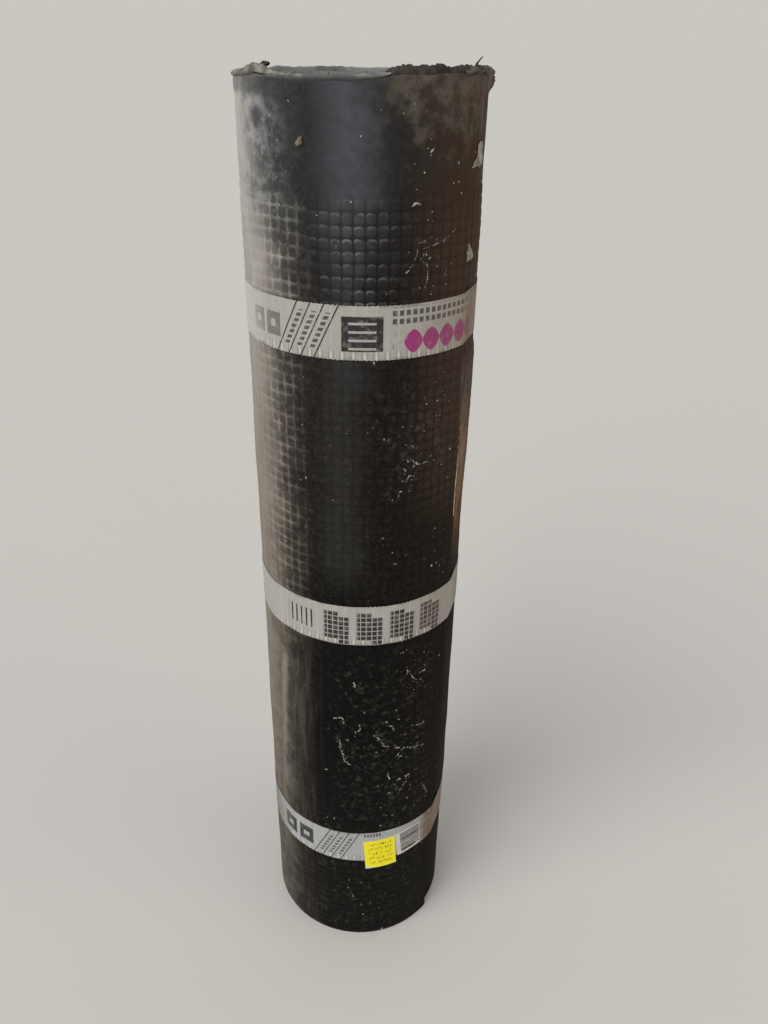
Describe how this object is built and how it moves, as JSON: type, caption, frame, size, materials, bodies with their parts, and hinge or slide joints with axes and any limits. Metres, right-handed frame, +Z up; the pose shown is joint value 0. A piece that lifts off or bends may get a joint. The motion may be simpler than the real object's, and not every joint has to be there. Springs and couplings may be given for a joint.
{
  "type": "roll of roofing felt",
  "caption": "Upright roll of black nubbed bituminous roofing felt with a smooth selvedge, open bore, printed wrap bands and stickers.",
  "frame": {"origin": "centre of the bore at the roll's foot, in the plane it stands on", "axes": "+Z up along the roll's axis; -Y is the side seen in the picture, with the stickers; +X to the right of it"},
  "size_m": [0.2207, 0.2226, 1],
  "materials": {
    "felt": "black bitumen film, dusty, semi-gloss",
    "wrap": null,
    "yellow_paper": "bright yellow matte sticker",
    "white_paper": "white sticker with plain black bars"
  },
  "bodies": {
    "root": {"felt_roll": "felt", "upper_band": "wrap", "middle_band": "wrap", "lower_band": "wrap", "yellow_label": "yellow_paper", "barcode_label": "white_paper"}
  },
  "joints": []
}
